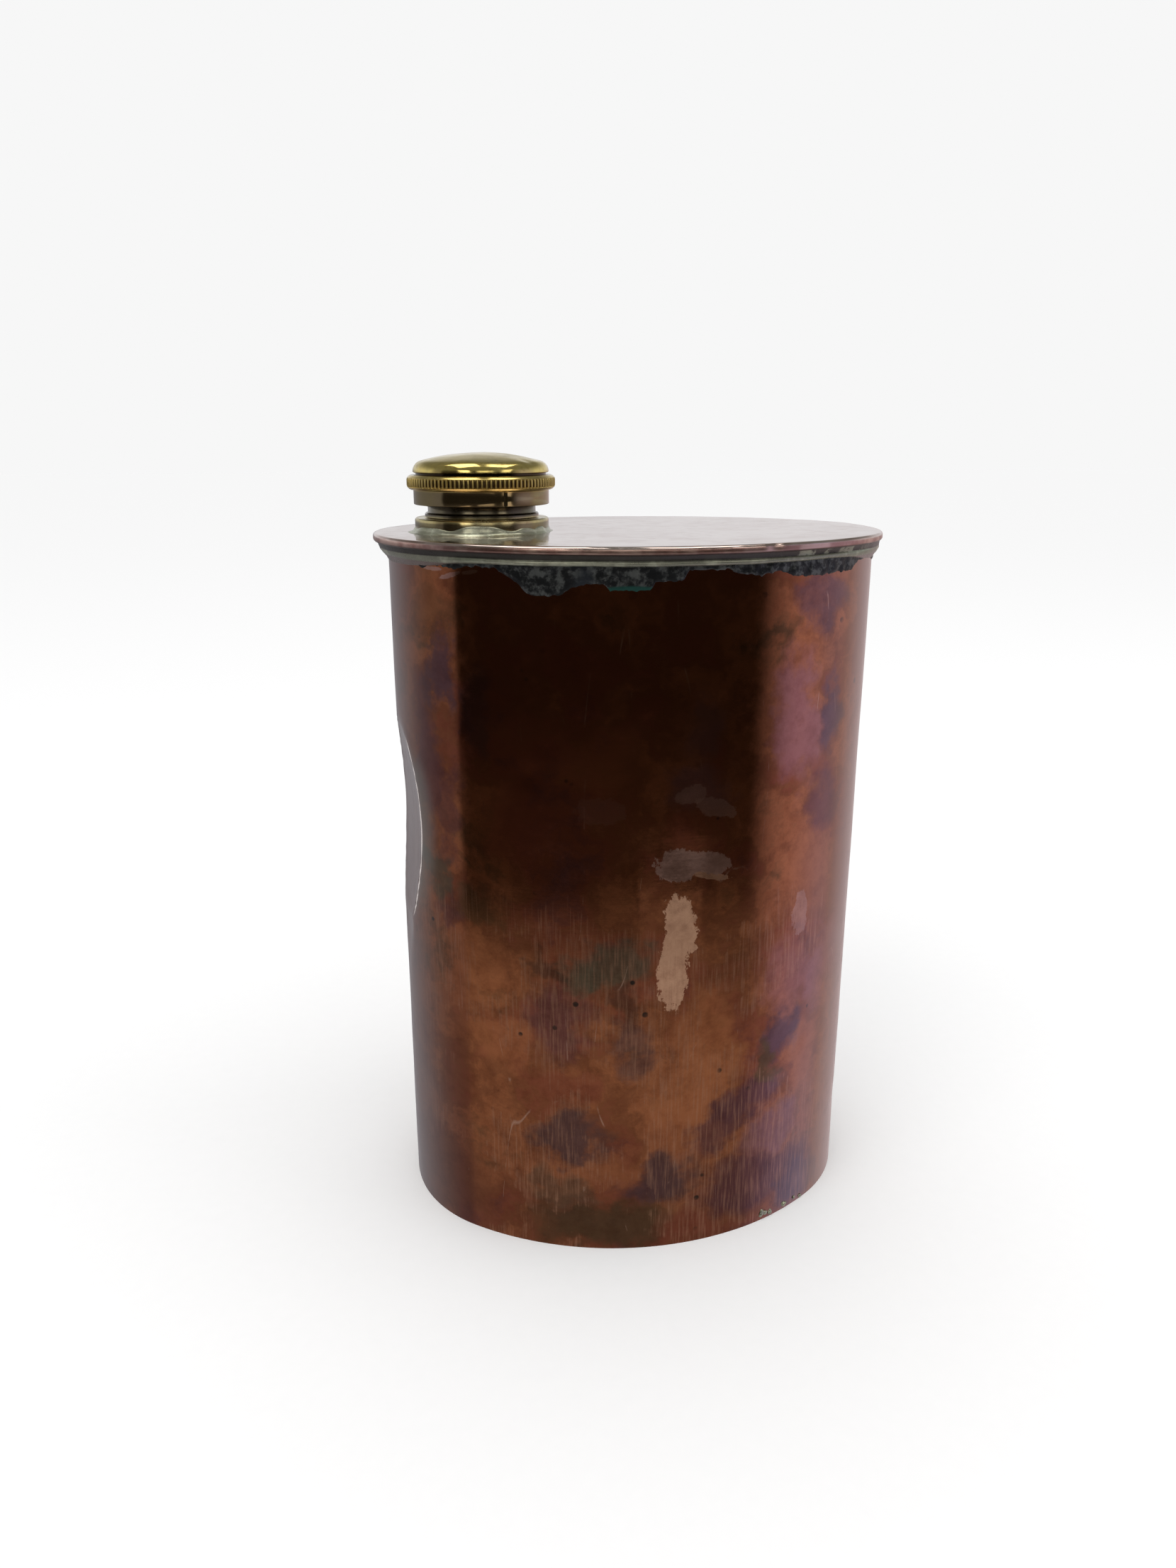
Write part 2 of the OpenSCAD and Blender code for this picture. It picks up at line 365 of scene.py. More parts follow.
def lid_shift(point):
    """Small unevenness of the fold and the flat."""
    (along, out), reach = place_round(point), reach_of(point)
    flat = 1 - soft_step(reach, -9, -1)
    lip = soft_step(reach, 0.8, 2.2)
    crown = 0.14 * noise.noise(point / (30 * mm)) * flat + 0.015 * noise.noise(point / (9 * mm)) * flat
    wobble = 0.13 * noise.noise(point / (13 * mm)) + 0.07 * noise.noise(point / (3.2 * mm))
    nick = sum(depth * math.exp(-(((along - s) / wide) ** 2))
               for s, wide, depth in ((5.5, 0.7, -0.3), (21, 0.6, -0.35), (14, 2.5, 0.12), (-20, 3, 0.1)))
    return out * (wobble + nick) * lip * mm + Vector((lid_shift_x * mm, 0, (crown + 0.6 * wobble * lip) * mm))


push(lid, lid_shift)
thicken(lid, sheet, lambda p: Vector((0, 0, 1)))
bpy.ops.object.select_all(action="DESELECT")
bpy.ops.mesh.primitive_cylinder_add(vertices=96, radius=12 * mm, depth=6 * mm, location=(neck_x, 0, top_z))
punch = bpy.context.object
take(lid)
hole = lid.modifiers.new("hole", "BOOLEAN")
hole.operation, hole.solver, hole.object = "DIFFERENCE", "EXACT", punch
bpy.ops.object.modifier_apply(modifier=hole.name)
bpy.data.objects.remove(punch)
smooth(lid, 40)
print("top triangles:", triangles(lid))

# %% [markdown]
# **The solder under the rim.** Soft solder was run into the corner between the wrapper and the fold. It
# hollows out in the corner and ends below in a thin roll. The same sweep makes it, as a closed outline,
# and a little noise makes it wander as run metal does.

# %% Run the solder under the rim
corner = [(1.75, 160.25), (1.45, 159.9), (1.05, 159.45), (0.85, 159.15), (0.98, 158.95), (1.12, 158.7),
          (1.08, 158.4), (0.85, 158.15), (0.5, 158.0), (0.1, 157.85), (-0.3, 157.8), (-0.3, 160.25)]
rim_run = draw_line("rim_solder_run", [(half_w + out * mm, 0, z * mm) for out, z in corner + corner[:1]])
sweep_round(rim_run, *solder_steps)


# At the two ends of the oval the solder and the wrapper flare out together: height, and reach off the wall.
left_flare = [(156.2, -0.05), (157.1, 0.4), (158.7, 1.7), (160.3, 2.35)]
right_flare = [(156.2, -0.05), (157.5, 0.6), (158.3, 1.3), (160.3, 1.6)]


def rim_run_shift(point):
    """The wander of the solder, which flares up to the fold at both ends."""
    along, out = place_round(point)
    if reach_of(point) < 0:
        return Vector((0, 0, 0))
    z = point.z / mm
    lean = 0.35 * -out.x * soft_step(z, 158.6, 160.2)
    end = soft_step(abs(out.x), 0.5, 0.95)
    fall = 1.5 * end * (1 - soft_step(z, 157.7, 158.9))
    flare = left_flare if point.x < 0 else right_flare
    for (z0, reach0), (z1, reach1) in zip(flare, flare[1:]):
        if z0 <= z - fall <= z1:
            straight = reach0 + (reach1 - reach0) * (z - fall - z0) / (z1 - z0)
            lean += end * (straight + 0.12 * math.exp(-(((z - 158.5) / 0.3) ** 2)) - reach_of(point) - lean)
    wander = 0.1 * noise.noise(point / (8 * mm)) + 0.06 * noise.noise(point / (2.4 * mm))
    sag = 0.14 * noise.noise(Vector((along / 11, 3, 0))) * (1 - soft_step(z, 159, 160)) - fall
    return out * (lean + wander) * mm + Vector((0, 0, sag * mm))


push(rim_run, rim_run_shift)
smooth(rim_run, 60)

# %% [markdown]
# **The smears.** Below the roll the solder has run and been wiped down the copper in a dark, ragged
# apron. Its lower edge is what the eye reads, so that edge is given as a list of heights along the front,
# and the rest of the way round is left to noise. It is a strip, pulled down to its edge and made lumpy.

# %% Wipe the smears down the wall
apron_edge = [(-75, 156.6), (-67, 157.5), (-55.7, 157.6), (-53.6, 156), (-51, 157.2), (-45, 156.6),
              (-40, 157.4), (-35, 157), (-33.7, 156.2), (-30.5, 154.1), (-28.3, 151.8), (-25.2, 151.7),
              (-21.9, 152), (-19.8, 153.4), (-16.8, 154.4), (-13.5, 154.4), (-12, 153.1), (-4, 153.1),
              (-3, 154.8), (2.5, 155), (3.8, 157.2), (8.5, 157), (12.1, 157), (14.4, 156), (19.2, 155.4),
              (23.7, 156.2), (27.9, 154.8), (34.8, 154.5), (40.4, 154.8), (45.6, 154.7), (48.4, 156.6),
              (56, 157), (62, 155.6), (75, 156)]


def apron_low(along):
    """Height of the ragged lower edge at a distance round the oval, in millimetres."""
    rag = 0.45 * noise.noise(Vector((along * 0.8, 0, 7))) + 0.3 * noise.noise(Vector((along * 2.3, 0, 2)))
    for (s0, z0), (s1, z1) in zip(apron_edge, apron_edge[1:]):
        if s0 <= along <= s1:
            return min(157.8, z0 + (z1 - z0) * (along - s0) / (s1 - s0) + rag)
    back = 156.3 + 1.5 * noise.noise(Vector((abs(along) / 9, 1, 0)))
    return min(157.8, back + rag)


strip_low, strip_high = 150, 158.6
smear = draw_line("solder_smears", [(half_w, 0, strip_low * mm), (half_w, 0, strip_high * mm)])
bpy.ops.mesh.select_all(action="SELECT")
bpy.ops.mesh.subdivide(number_cuts=11)
sweep_round(smear, 120, 170)


def smear_shift(point):
    """Pulls a point of the strip to its share of the apron's height, and lifts it off the wall."""
    along, out = place_round(point)
    share = (point.z / mm - strip_low) / (strip_high - strip_low)
    low = apron_low(along)
    height = low + share * (strip_high - low)
    target = on_wall(along, height)
    lumps = max(0, noise.noise(target / (1.9 * mm)) + 0.35) * 0.3
    lumps += max(0, noise.noise(target / (4.5 * mm))) * 0.3
    lift = -0.15 + 0.27 * soft_step(share, 0, 0.12) + lumps * soft_step(share, 0, 0.3) + 0.25 * share * share
    rest = wrapper_shift(target)
    return target + rest + out * lift * mm - point


push(smear, smear_shift)
thicken(smear, 0.3 * mm, lambda p: place_round(p)[1])
smooth(smear, 60)

# %% [markdown]
# **The seam at the back.** A thin run of solder closes the edge of the lap. It is a flattened rod, divided
# along its length so that it can wander, swell and thin out.

# %% Solder the back seam
seam_low, seam_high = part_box("seam_solder")
bpy.ops.object.select_all(action="DESELECT")
bpy.ops.mesh.primitive_cylinder_add(vertices=20, radius=0.75 * mm, depth=seam_high.z - seam_low.z,
                                    location=(-lap_half, half_d, (seam_low.z + seam_high.z) / 2))
seam_run = bpy.context.object
seam_run.name = seam_run.data.name = "seam_solder_run"
bpy.ops.object.transform_apply(location=True, rotation=True, scale=True)
bpy.ops.object.mode_set(mode="EDIT")
bpy.ops.mesh.select_mode(type="EDGE")
bpy.ops.mesh.select_all(action="DESELECT")
bpy.ops.object.mode_set(mode="OBJECT")
for edge in seam_run.data.edges:
    a, b = (seam_run.data.vertices[i].co for i in edge.vertices)
    edge.select = abs(a.z - b.z) > mm
bpy.ops.object.mode_set(mode="EDIT")
bpy.ops.mesh.subdivide(number_cuts=240)
bpy.ops.mesh.select_mode(type="VERT")
bpy.ops.object.mode_set(mode="OBJECT")


def seam_shift(point):
    """Flattens the rod on to the wall and lets it wander."""
    x, y = point.x + lap_half, point.y - half_d
    swell = 1 + 0.45 * noise.noise(Vector((0, 0, point.z / (5 * mm)))) + 0.2 * noise.noise(point / mm)
    wander = 0.25 * mm * noise.noise(Vector((5, 0, point.z / (9 * mm))))
    return Vector((x * (1.25 * swell - 1) + wander, y * (0.7 * swell - 1) + 0.1 * mm, 0))


push(seam_run, seam_shift)
smooth(seam_run, 60)
print("seam is", round((seam_high.z - seam_low.z) / mm), "mm long,", triangles(seam_run), "triangles")

# %% [markdown]
# **The bottom.** An oval tray is set up inside the wrapper, with its edge turned down and soldered round.
# Its sheet is swept and then grown inwards ring by ring, like the top. A few beads of solder have
# been squeezed out under the wrapper's edge at the right of the front.

# %% Set the bottom tray
tray_z = 2.95
turned_down = [(-1.2, 0.8), (-1.2, 2.2)] + arc(-1.9, 2.2, 0.7, 10, 90, 4) + [(-3, tray_z)]
tray = draw_line("bottom_tray", [(half_w + out * mm, 0, z * mm) for out, z in turned_down])
sweep_round(tray, *wall_steps)
grow_inwards(tray, -2.8, 14, tray_z * mm)
push(tray, lambda p: Vector((0, 0, 0.25 * mm * noise.noise(p / (24 * mm)) * (abs(p.x) < half_w - 8 * mm))))
thicken(tray, sheet, lambda p: Vector((0, 0, -1)))
smooth(tray)
print("tray reaches", [round(v / mm, 2) for v in tray.dimensions])

# %% Solder the tray in
wedge = [(-0.5, 0.12), (-0.5, 0.95), (-1.35, 0.95), (-1.3, 0.75), (-1.05, 0.5), (-0.8, 0.3)]
base_run = draw_line("base_solder_run", [(half_w + out * mm, 0, z * mm) for out, z in wedge + wedge[:1]])
sweep_round(base_run, *solder_steps)
push(base_run, lambda p: place_round(p)[1] * 0.22 * mm * min(0, noise.noise(p / (3 * mm))) +
     Vector((0, 0, 0.1 * mm * noise.noise(p / (2 * mm)))))
smooth(base_run, 60)

# %% Squeeze out a few beads under the edge
random.seed(11)
bead_parts = []
for bead in range(9):
    spot = on_wall(random.uniform(27, 45), random.uniform(0.5, 1.9))
    bpy.ops.object.select_all(action="DESELECT")
    size = random.uniform(0.35, 0.75) * mm
    bpy.ops.mesh.primitive_ico_sphere_add(subdivisions=3, radius=size, location=spot)
    part = bpy.context.object
    bpy.ops.object.transform_apply(location=True, rotation=True, scale=True)
    push(part, lambda p: (p - spot) * 0.5 * noise.noise(p / (0.8 * mm)) -
         place_round(p)[1] * (p - spot).dot(place_round(p)[1]) * 0.45)
    bead_parts.append(part)
take(bead_parts[0])
for part in bead_parts:
    part.select_set(True)
bpy.ops.object.join()
beads = bpy.context.object
beads.name = beads.data.name = "base_solder_beads"
push(beads, lambda p: Vector((0, 0, max(0, -p.z))))
smooth(beads, 80)
print("beads of solder at the foot:", len(bead_parts))

# %% [markdown]
# **The neck.** It is turned brass: a spigot that goes through the top, a collar that sits on it, and a tube
# with a thread for the cap. The tube is spun from a closed profile. The thread is a ridge with
# sloping sides, wound up the tube by the Screw modifier, which is what it is for.

# %% Turn the neck
neck = turned("threaded_neck", [
    (11.9, -3), (11.9, 0), (14.5, 0), (14.75, 0.25), (14.8, 0.6), (14.8, 2.55), (14.7, 2.85), (14.45, 3.05),
    (14.1, 3.1), (12.9, 3.1), (12.6, 3.3), (12.55, 3.9), (12.35, 4.1), (12.0, 4.2), (11.9, 4.4),
    (11.9, 11.2), (11.75, 11.5), (11.5, 11.6), (10.9, 11.6), (10.65, 11.5), (10.5, 11.25), (10.5, -3),
], 144)
smooth(neck, 30)


def wind_thread(name, radii, low, turns, pitch):
    """A screw thread as its own mesh: a four-sided ridge, wound about the neck's axis."""
    (root, crest), wide, narrow = radii, 0.5, 0.2
    outline = [(root, -wide), (crest, -narrow), (crest, narrow), (root, wide), (root, -wide)]
    piece = draw_line(name, [(neck_x + r * mm, 0, top_z + (low + z) * mm) for r, z in outline])
    close_up(piece)
    take(piece)
    bpy.context.scene.cursor.location = (neck_x, 0, top_z)
    bpy.ops.object.origin_set(type="ORIGIN_CURSOR")
    winding = piece.modifiers.new("winding", "SCREW")
    winding.angle, winding.screw_offset, winding.iterations = 2 * math.pi, pitch * mm, turns
    winding.steps = winding.render_steps = 72
    winding.use_merge_vertices = True
    bpy.ops.object.modifier_apply(modifier=winding.name)
    bpy.ops.object.transform_apply(location=True, rotation=True, scale=True)
    bpy.ops.object.mode_set(mode="EDIT")
    bpy.ops.mesh.select_all(action="DESELECT")
    bpy.ops.mesh.select_non_manifold()
    bpy.ops.mesh.edge_face_add()
    close_up(piece)
    push(piece, lambda p: taper(p, root, low, turns, pitch))
    smooth(piece, 30)
    return piece


def taper(point, root, low, turns, pitch):
    """Sinks the two ends of a thread back into its wall, over a quarter of a turn."""
    flat, z = from_neck(point)
    share = (math.atan2(flat.y, flat.x) / (2 * math.pi)) % 1
    turn = round((z - low) / pitch - share) + share
    left = min(turn, turns - turn)
    return flat.normalized() * (root * mm - flat.length) * (1.08 - 1.08 * soft_step(left, -0.02, 0.22))


neck_thread = wind_thread("neck_thread", (11.75, 12.6), 5.0, 3, 1.6)

# %% [markdown]
# **The solder round the neck's foot.** It was fed in with an iron from the front, where a tongue of it climbs
# the collar, and it pooled at the left. A turned ring of the right section is pulled out and up
# where the real run is wide or high.

# %% Run the solder round the neck
foot_r = 14.8
neck_run = turned("neck_solder_run", [
    (foot_r - 0.3, -0.1), (foot_r - 0.3, 0.95), (foot_r + 0.02, 0.95), (foot_r + 0.12, 0.8),
    (foot_r + 0.2, 0.5), (foot_r + 0.32, 0.3), (foot_r + 0.55, 0.14), (foot_r + 0.8, 0.05),
    (foot_r + 0.95, -0.1),
], 144)
climbs = [(-96, 19, 1.25), (-55, 8, 0.5), (-145, 16, 0.5), (-36, 7, 0.6), (60, 30, 0.6)]
pools = [(-168, 20, 1.0), (-75, 22, 0.3), (40, 35, 0.6), (120, 25, 0.5)]


def hump(angle, humps):
    """The sum of smooth rises, each with a middle and a width in degrees, and a height."""
    total = 0
    for centre, width, height in humps:
        gap = (angle - centre + 180) % 360 - 180
        total += height * math.exp(-((gap / width) ** 4))
    return total


def neck_run_shift(point):
    """Pulls the ring of solder up in tongues and out in pools."""
    flat, z = from_neck(point)
    angle = math.degrees(math.atan2(flat.y, flat.x))
    ragged = 0.1 * noise.noise(flat.normalized() * 3.5)
    reach = flat.length / mm - foot_r
    up = max(0, z) * mm * (hump(angle, climbs) + 2.2 * ragged)
    out = max(0, reach) * (hump(angle, pools) + 2 * ragged)
    bulge = 0.1 * hump(angle, climbs) * soft_step(reach, 0, 0.1) * (1 - soft_step(reach, 0.2, 0.5))
    return flat.normalized() * (out + bulge) * mm + Vector((0, 0, up))


push(neck_run, neck_run_shift)
smooth(neck_run, 70)

# %% [markdown]
# **The cap.** Three turned pieces: a threaded collar with a milled grip ring, a domed crown pressed on
# its spigot, and a leather washer. The collar is spun in four steps for each notch of the milling, and then
# two in every four columns of points are pushed in across the middle of the ring, which mills it.

# %% Turn the collar, mill the ring, and cut the thread
notch_count = 106
grip_low = [(15.1 + 1.2 * math.cos(math.radians(a)), 10.2 + 1.2 * math.sin(math.radians(a)))
            for a in (-90, -72, -54, -38, -27, -22, -8)]
grip_high = [(15.1 + 1.2 * math.cos(math.radians(a)), 11.0 + 1.2 * math.sin(math.radians(a)))
             for a in (8, 22, 27, 38, 54, 72, 90)]
collar = turned("cap_collar_milled", [
    (12.75, 5.95), (12.85, 5.9), (14.7, 5.9), (14.84, 5.96), (14.9, 6.1), (14.9, 7.4), (14.9, 8.85),
    (14.95, 9.0)]
    + grip_low + grip_high +
    [(14.4, 12.2), (14.3, 12.25), (14.3, 12.6), (13.6, 12.6), (13.6, 13.8), (12.95, 13.8), (12.95, 11.2),
     (12.75, 11.2)], 4 * notch_count)
joint_angle = -74


def mill(point):
    """Pushes in the notches of the grip ring, and the joint line down the skirt."""
    flat, z = from_neck(point)
    angle = math.degrees(math.atan2(flat.y, flat.x))
    column = round(angle / 360 * 4 * notch_count)
    if flat.length > 15.5 * mm and 9.7 < z < 11.5:
        return flat.normalized() * (-0.42 * mm if column % 4 < 2 else 0)
    if flat.length > 14.5 * mm and 6 < z < 8.9 and abs(angle - joint_angle) < 1:
        return flat.normalized() * -0.22 * mm
    return Vector((0, 0, 0))


push(collar, mill)
smooth(collar, 25)
cap_thread = wind_thread("cap_thread", (12.9, 12.07), 7.3, 2, 1.6)

# %% Turn the crown
crown_r, shoulder, crown_z = 50.4, 2.4, 16.85
centre_z, shoulder_x = crown_z - crown_r, 14.9 - shoulder
shoulder_z = centre_z + math.sqrt((crown_r - shoulder) ** 2 - shoulder_x ** 2)
meet = math.degrees(math.atan2(shoulder_z - centre_z, shoulder_x))
curve = arc(shoulder_x, shoulder_z, shoulder, 0, meet, 12)
curve += [(crown_r * math.cos(math.radians(a)), centre_z + crown_r * math.sin(math.radians(a)))
          for a in (meet + (90 - meet) * i / 12 for i in range(1, 12))]
crown = turned("cap_crown", [(0.001, 14.1), (13.6, 14.1), (13.6, 12.62), (14.7, 12.62), (14.85, 12.75)]
               + curve + [(0.001, crown_z)], 128)


def crown_shift(point):
    """The crown has been dropped and polished: slight waves over the top and a small knock at the right."""
    flat, z = from_neck(point)
    flat /= mm
    if z < 14.3:
        return Vector((0, 0, 0))
    knock = 0.16 * math.exp(-(((flat.x - 9.4) ** 2 + (flat.y + 9.2) ** 2) / 2.2))
    wave = 0.09 * noise.noise(flat / 7) + 0.03 * noise.noise(flat / 2.5)
    return Vector((0, 0, (wave - knock) * mm)) - flat.normalized() * 0.5 * knock * mm


push(crown, crown_shift)
smooth(crown, 35)

# %% Cut the washer
washer = turned("leather_washer", [
    (8.6, 11.64), (8.5, 11.9), (8.5, 13.7), (8.65, 14.05), (12.2, 14.06), (12.38, 13.8), (12.4, 11.85),
    (12.25, 11.63),
], 96)
push(washer, lambda p: Vector((0, 0, 0.02 * mm * noise.noise(p / (1.5 * mm)))) * (p.z < top_z + 13 * mm))
smooth(washer, 40)
pieces = [wrapper, lid, rim_run, smear, seam_run, tray, base_run, beads, neck, neck_thread, neck_run,
          collar, cap_thread, crown, washer]
print(len(pieces), "pieces,", sum(triangles(piece) for piece in pieces), "triangles")

# %% [markdown]
# **Finishes.** Each finish is a graph of nodes that reads the piece's Object coordinates, in metres, so that
# a pattern stays where it is on the metal. A few short helpers keep the graphs readable: one adds a
# node, one makes grain, one turns a value into a soft mask, and one lays a colour over another. They all
# work on the graph in hand, which is the last one that was started.

# %% Helpers for finishes
def add_node(kind, inputs=None, **settings):
    """Adds a node to the graph in hand, and fills its inputs with plain values or other nodes' outputs."""
    new = tree.nodes.new("ShaderNode" + kind)
    for name, value in settings.items():
        setattr(new, name, value)
    for name, value in (inputs or {}).items():
        if isinstance(value, bpy.types.NodeSocket):
            tree.links.new(value, new.inputs[name])
        else:
            new.inputs[name].default_value = value
    return new


def new_finish(name, roughness):
    """Starts a metal finish, and takes in hand its graph, its shader and the place on the piece in metres."""
    global tree, shader, place
    finish = bpy.data.materials.new(name)
    finish.use_nodes = True
    tree = finish.node_tree
    shader = tree.nodes["Principled BSDF"]
    shader.inputs["Metallic"].default_value = 1
    shader.inputs["Roughness"].default_value = roughness
    place = add_node("TexCoord").outputs["Object"]
    return finish


def grain(place, scale, stretch=(1, 1, 1), turn=(0, 0, 0), detail=4, rough=0.55, warp=0):
    """Noise of a given number of cells in a metre. Stretch makes the cells longer along an axis."""
    turned_place = add_node("Mapping", {
        "Vector": place, "Rotation": [math.radians(a) for a in turn],
        "Scale": [1 / s for s in stretch]}).outputs["Vector"]
    return add_node("TexNoise", {"Vector": turned_place, "Scale": scale, "Detail": detail,
                                       "Roughness": rough, "Distortion": warp}).outputs["Fac"]


def mask(value, low, high, top=1.0):
    """A smooth rise from 0 to top as the value goes from low to high, or a fall if low is above high."""
    rising = low < high
    ends = {"From Min": min(low, high), "From Max": max(low, high),
            "To Min": 0 if rising else top, "To Max": top if rising else 0}
    rise = add_node("MapRange", {"Value": value, **ends}, interpolation_type="SMOOTHSTEP")
    return rise.outputs["Result"]


def math_node(operation, a, b):
    """One sum of two values."""
    return add_node("Math", {0: a, 1: b}, operation=operation).outputs[0]


def plus(a, b):
    """a + b."""
    return math_node("ADD", a, b)


def less(a, b):
    """a - b."""
    return math_node("SUBTRACT", a, b)


def times(a, b):
    """a x b."""
    return math_node("MULTIPLY", a, b)


def lay(amount, under, over, kind="MIX"):
    """Lays one colour over another by an amount."""
    under = (*under, 1) if isinstance(under, tuple) else under
    over = (*over, 1) if isinstance(over, tuple) else over
    return add_node("Mix", {0: amount, 6: under, 7: over}, data_type="RGBA", blend_type=kind).outputs[2]


def from_middle(place, middle, half, lean=0):
    """How far a place is from a blob's middle, where 1 is its edge. The blob leans by some degrees."""
    spot = add_node("Mapping", {"Vector": place, "Location": middle, "Scale": half,
                                      "Rotation": (0, math.radians(-lean), 0)}, vector_type="TEXTURE")
    return add_node("VectorMath", {0: spot.outputs[0]}, operation="LENGTH").outputs["Value"]


def split(vector):
    """The outputs X, Y and Z of a vector."""
    return add_node("SeparateXYZ", {0: vector}).outputs


def feed(name, value):
    """Links a value to an input of the shader in hand."""
    tree.links.new(value, shader.inputs[name])


def bump(*layers):
    """Fine relief: each layer is a value and its depth in metres, one on top of the other."""
    normal = None
    for height, depth in layers:
        inputs = {"Height": height, "Distance": depth, "Strength": 1.0}
        if normal is not None:
            inputs["Normal"] = normal
        normal = add_node("Bump", inputs).outputs["Normal"]
    feed("Normal", normal)


print("helpers ready")

# %% [markdown]
# ** Tarnished copper.** The wrapper is the can's whole character: copper that has been heated, fingered and
# half polished for a century. A slow noise gives the ground colours all the way round. Over it lie stains,
# each a
# soft blob at a distance round the oval and a height, with its outline broken up by noise, and sharp-edged
# patches:
# a painted highlight and painted reflections on the front, and a few grey marks. Then come fine up-and-down
# brushing, scratches and specks, a painted grey sheen where the wall turns away, and a painted highlight on
# the dent's crease.

# %% Copper colours and the stains on the front
orange, brown, russet = (0.50, 0.185, 0.08), (0.30, 0.11, 0.05), (0.33, 0.10, 0.055)
plum, mauve, pink = (0.145, 0.062, 0.07), (0.28, 0.14, 0.14), (0.42, 0.19, 0.18)
olive, slate, verdigris = (0.135, 0.085, 0.042), (0.115, 0.072, 0.075), (0.135, 0.115, 0.075)
violet, soot = (0.125, 0.078, 0.10), (0.045, 0.032, 0.026)

# Each stain: round, height, half width, half height, lean in degrees, colour, strength
stains = [
    (10, 50, 8, 16, 0, orange, 0.75), (7, 36, 9, 9, 0, orange, 0.9), (2, 25, 6, 8, 30, orange, 0.7),
    (38, 41, 5, 10, 0, orange, 0.75), (37, 91, 7, 13, 0, orange, 0.55), (-44, 72, 7, 7, 0, orange, 0.65),
    (-45, 61, 5, 7, -20, orange, 0.7), (-37, 52, 9, 7, 0, orange, 0.7), (-12, 22, 8, 5, 0, orange, 0.55),
    (-51, 150, 6, 8, 0, orange, 0.5), (-13, 120, 10, 7, 0, orange, 0.35), (-22, 41, 8, 6, 0, russet, 0.7),
    (3, 4, 13, 4, 0, russet, 0.8), (-31, 104, 10, 9, 0, russet, 0.6), (-52, 12, 15, 10, 0, brown, 0.7),
    (31, 50, 8, 7, 30, violet, 0.8), (22, 34, 10, 6, 35, plum, 0.9), (12, 27, 8, 5, 35, plum, 0.7),
    (27, 12, 18, 9, 0, plum, 0.85), (41, 7, 8, 6, 0, violet, 0.8), (30, 25, 10, 6, 20, mauve, 0.75),
    (27, 43, 4, 8, 15, olive, 0.8), (-12, 7, 18, 7, 0, olive, 0.85), (-43, 84, 7, 5, 0, olive, 0.6),
    (0, 17, 9, 6, 0, slate, 0.8), (-21, 29, 10, 6, 0, slate, 0.8), (-22, 58, 8, 10, 0, plum, 0.65),
    (-7, 53, 5, 8, 0, slate, 0.6), (-22, 16, 7, 5, 0, verdigris, 0.5), (-11, 73, 9, 6, 0, verdigris, 0.8),
    (-18, 71, 6, 5, 0, verdigris, 0.7), (-25, 71, 5, 4, 0, soot, 0.55), (-7, 64, 4, 6, 0, soot, 0.55),
    (-51, 135, 5, 8, 0, violet, 0.75), (-40, 128, 6, 10, 0, slate, 0.5), (8, 125, 6, 6, 0, mauve, 0.5),
    (7, 112, 8, 7, 0, mauve, 0.6), (31, 124, 8, 15, 10, pink, 0.7), (42, 126, 5, 9, 0, violet, 0.8),
    (37, 149, 7, 7, 0, violet, 0.6), (41, 105, 6, 8, 0, plum, 0.6), (-53, 89, 4, 8, 0, verdigris, 0.75),
    (-56, 116, 6, 18, 0, plum, 0.75), (-50, 104, 4, 12, 0, plum, 0.5),
    (45, 63, 7, 12, 0, pink, 0.6), (32, 64, 8, 9, 0, pink, 0.45), (-50, 81, 5, 5, 0, plum, 0.5),
]
print(len(stains), "stains")


# %% Ground colours, stains and scratches of the copper
copper = new_finish("tarnished_copper", 0.14)
drift = add_node("TexNoise", {"Vector": place, "Scale": 95, "Detail": 5, "Roughness": 0.6})
centred = add_node("VectorMath", {0: drift.outputs["Color"], 1: (0.5, 0.5, 0.5)}, operation="SUBTRACT")
warped = add_node("VectorMath", {0: centred.outputs[0], 1: (0.022,) * 3, 2: place},
                  operation="MULTIPLY_ADD").outputs[0]
ground = add_node("ValToRGB", {"Fac": grain(warped, 38, detail=5, rough=0.6)})
ramp = ground.color_ramp
for position, tint in ((0.30, plum), (0.42, russet), (0.5, brown), (0.58, orange), (0.7, olive)):
    spot = ramp.elements.new(position)
    spot.color = (*tint, 1)
for spare in (ramp.elements[0], ramp.elements[-1]):
    spare.color = (*brown, 1)
colour = lay(0.3, ground.outputs["Color"], brown)
for along, height, wide, tall, lean, tint, strength in stains:
    reach = from_middle(warped, on_wall(along, height), (wide * mm, wide * mm, tall * mm), lean)
    colour = lay(mask(reach, 1.25, 0.5, strength), colour, tint)

# %% Sharp-edged patches: a painted highlight, painted reflections and grey marks
# Each patch: round, height, half width, half height, lean in degrees, colour, strength
highlight_peach, grey_reflection_and_mark = (0.86, 0.52, 0.34), (0.62, 0.40, 0.33)
